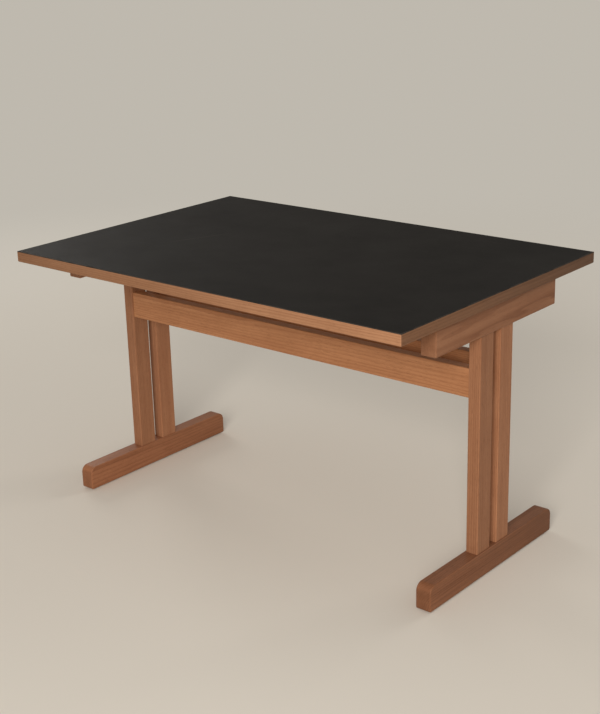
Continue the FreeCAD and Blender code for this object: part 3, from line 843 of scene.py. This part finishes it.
class DESK_OT_lippings(Operator):
    """Finish the wooden strips round the edge of the top"""

    bl_idname = "desk.lippings"
    bl_label = "Finish Lippings"

    def execute(self, context):
        finish_boards(context.scene, ("lipping_front", "lipping_back"), "X", "edge")
        finish_boards(context.scene, ("lipping_left", "lipping_right"), "Y", "edge")
        return {"FINISHED"}


class DESK_OT_bearers(Operator):
    """Finish the two bearers under the top"""

    bl_idname = "desk.bearers"
    bl_label = "Finish Bearers"

    def execute(self, context):
        bearers = [f"{end}_bearer" for end in ENDS]
        # End grain of the bearers darkened partly as painted shade
        finish_boards(context.scene, bearers, "Y", "frame", END_GRAIN_AND_SHADE_TONE)
        return {"FINISHED"}


class DESK_OT_uprights(Operator):
    """Finish the four uprights"""

    bl_idname = "desk.uprights"
    bl_label = "Finish Uprights"

    def execute(self, context):
        uprights = [f"{end}_{row}_upright" for end in ENDS for row in ROWS]
        finish_boards(context.scene, uprights, "Z", "frame")
        return {"FINISHED"}


class DESK_OT_rails(Operator):
    """Finish the two rails and the dowels in their ends"""

    bl_idname = "desk.rails"
    bl_label = "Finish Rails"

    def execute(self, context):
        finish_boards(context.scene, [f"{row}_rail" for row in ROWS], "X", "rail")
        finish_boards(context.scene, [f"{end}_rail_dowels" for end in ENDS], "X", "dowel")
        return {"FINISHED"}


class DESK_OT_feet(Operator):
    """Finish the two feet"""

    bl_idname = "desk.feet"
    bl_label = "Finish Feet"

    def execute(self, context):
        feet = [f"{end}_foot" for end in ENDS]
        # End grain of the feet darkened partly as painted shade
        finish_boards(context.scene, feet, "Y", "foot", END_GRAIN_AND_SHADE_TONE)
        return {"FINISHED"}


class DESK_OT_screws(Operator):
    """Model the slotted screws that hold the top"""

    bl_idname = "desk.screws"
    bl_label = "Model Screws"

    def execute(self, context):
        sizes = context.scene.desk_sizes
        low, high = box_corners("left_top_screws")
        radius = (high.x - low.x) / 2
        seat = low.z + sizes.head_height
        thread_top = high.z - sizes.point_length
        neck = thread_top - sizes.thread_length
        taper = sizes.shank_radius - sizes.core_radius
        screw = new_disc("screw", radius, low.z, seat, SCREW_SIDES)
        round_rims(screw, (low.z,), SCREW_DOME * sizes.head_height, segments=5)
        select_cap(screw, seat, 1)
        step_inwards(radius, sizes.shank_radius)
        step_along(neck - seat)
        step_along(taper, sizes.core_radius / sizes.shank_radius)
        step_along(thread_top - neck - taper)
        step_along(sizes.point_length, SCREW_TIP)
        close_shape(screw)
        cut_slot(screw, sizes.slot_width, low.z - sizes.slot_depth, low.z + sizes.slot_depth, radius)
        thread = new_thread(sizes.core_radius, sizes.shank_radius, sizes.thread_pitch, neck, thread_top)
        screw = join_pieces([screw, thread], "screw")
        steel = steel_material(context.scene.desk_colours)
        set_rows(screw, "screws", "top_screws", SCREWS_IN_ROW, steel)
        return {"FINISHED"}


class DESK_OT_washers(Operator):
    """Model the washers under the heads of the screws"""

    bl_idname = "desk.washers"
    bl_label = "Model Washers"

    def execute(self, context):
        sizes = context.scene.desk_sizes
        low, high = box_corners("left_top_washers")
        radius = (high.x - low.x) / 2
        washer = new_disc("washer", radius, low.z, high.z, WASHER_SIDES)
        select_faces(washer, lambda middle, normal: abs(normal.z) > LEVEL)
        step_inwards(radius, sizes.washer_bore)
        bpy.ops.mesh.bridge_edge_loops()
        round_rims(washer, (low.z, high.z), sizes.washer_rim, segments=2)
        close_shape(washer)
        steel = steel_material(context.scene.desk_colours)
        set_rows(washer, "washers", "top_washers", SCREWS_IN_ROW, steel)
        return {"FINISHED"}


class DESK_OT_glides(Operator):
    """Model the plastic glides under the feet and the nails that hold them"""

    bl_idname = "desk.glides"
    bl_label = "Model Glides"

    def execute(self, context):
        sizes = context.scene.desk_sizes
        colours = context.scene.desk_colours
        low, high = box_corners("left_glides")
        self.model_caps(sizes, colours, (high.x - low.x) / 2, low.z)
        self.model_nails(sizes, colours, low.z, high.z)
        return {"FINISHED"}

    def model_caps(self, sizes, colours, radius, base):
        """Round caps with a soft lower rim, a recess and a hole for the nail."""
        top = base + sizes.glide_height
        floor = base + sizes.recess_depth
        cap = new_disc("cap", radius, base, top, GLIDE_SIDES)
        round_rims(cap, (base,), sizes.glide_rim, segments=4)
        select_cap(cap, base, -1)
        step_inwards(radius - sizes.glide_rim, sizes.recess_radius)
        step_along(sizes.recess_depth)
        step_inwards(sizes.recess_radius, sizes.nail_radius)
        select_cap(cap, top, 1)
        step_inwards(radius, sizes.nail_radius)
        ring = HOLE_REACH * sizes.nail_radius
        select_faces(cap, lambda middle, normal: middle.xy.length < ring and abs(normal.z) > LEVEL
                     and (abs(middle.z - top) < NEAR or abs(middle.z - floor) < NEAR))
        bpy.ops.mesh.bridge_edge_loops()
        close_shape(cap)
        set_rows(cap, "glide_caps", "glides", GLIDES_IN_ROW, plastic_material(colours))

    def model_nails(self, sizes, colours, base, tip):
        """Nails with a domed head in the recess and a point in the foot."""
        seat = base + sizes.recess_depth
        head = seat - sizes.nail_head_height
        point = 2 * sizes.nail_radius
        nail = new_disc("nail", sizes.nail_head, head, seat, NAIL_SIDES)
        round_rims(nail, (head,), sizes.nail_dome, segments=3)
        select_cap(nail, seat, 1)
        step_inwards(sizes.nail_head, sizes.nail_radius)
        step_along(tip - seat - point)
        step_along(point, NAIL_TIP)
        close_shape(nail)
        set_rows(nail, "glide_nails", "glides", GLIDES_IN_ROW, steel_material(colours))


class DESK_OT_stage(Operator):
    """Lay the floor and set the lamps and the camera"""

    bl_idname = "desk.stage"
    bl_label = "Set Stage"

    def execute(self, context):
        scene = context.scene
        stage = scene.desk_stage
        scene.view_settings.view_transform = "Standard"
        deselect_all()
        bpy.ops.mesh.primitive_circle_add(vertices=FLOOR_SIDES, radius=stage.floor_radius, fill_type="NGON")
        floor = context.object
        floor.name = "floor"
        floor.data.materials.append(floor_material(stage))
        set_world(scene, stage)
        for name, place, size, colour in LAMPS:
            add_lamp(f"{name}_lamp", place, size, getattr(stage, f"{name}_power"), colour)
        add_camera(scene, stage)
        return {"FINISHED"}


class DESK_PT_desk(Panel):
    """Desk operators and settings in the sidebar"""

    bl_idname = "DESK_PT_desk"
    bl_label = "Writing Desk"
    bl_space_type = "VIEW_3D"
    bl_region_type = "UI"
    bl_category = "Desk"

    def draw(self, context):
        for operator in OPERATORS:
            self.layout.operator(operator.bl_idname)
        for name, group in SETTINGS.items():
            box = self.layout.box()
            for setting in group.__annotations__:
                box.prop(getattr(context.scene, name), setting)


SETTINGS = {"desk_colours": DeskColours, "desk_sizes": DeskSizes, "desk_stage": DeskStage}
OPERATORS = (
    DESK_OT_top,
    DESK_OT_lippings,
    DESK_OT_bearers,
    DESK_OT_uprights,
    DESK_OT_rails,
    DESK_OT_feet,
    DESK_OT_screws,
    DESK_OT_washers,
    DESK_OT_glides,
    DESK_OT_stage,
)


def register():
    """Adds the settings, the operators and the panel."""
    for name, group in SETTINGS.items():
        bpy.utils.register_class(group)
        setattr(bpy.types.Scene, name, PointerProperty(type=group))
    for item in (*OPERATORS, DESK_PT_desk):
        bpy.utils.register_class(item)


def unregister():
    """Takes the panel, the operators and the settings away again."""
    for item in reversed((*OPERATORS, DESK_PT_desk)):
        bpy.utils.unregister_class(item)
    for name, group in reversed(SETTINGS.items()):
        delattr(bpy.types.Scene, name)
        bpy.utils.unregister_class(group)


def main():
    """Builds the whole scene."""
    register()
    bpy.ops.desk.top()
    bpy.ops.desk.lippings()
    bpy.ops.desk.bearers()
    bpy.ops.desk.uprights()
    bpy.ops.desk.rails()
    bpy.ops.desk.feet()
    bpy.ops.desk.screws()
    bpy.ops.desk.washers()
    bpy.ops.desk.glides()
    bpy.ops.desk.stage()


if __name__ == "__main__":
    main()
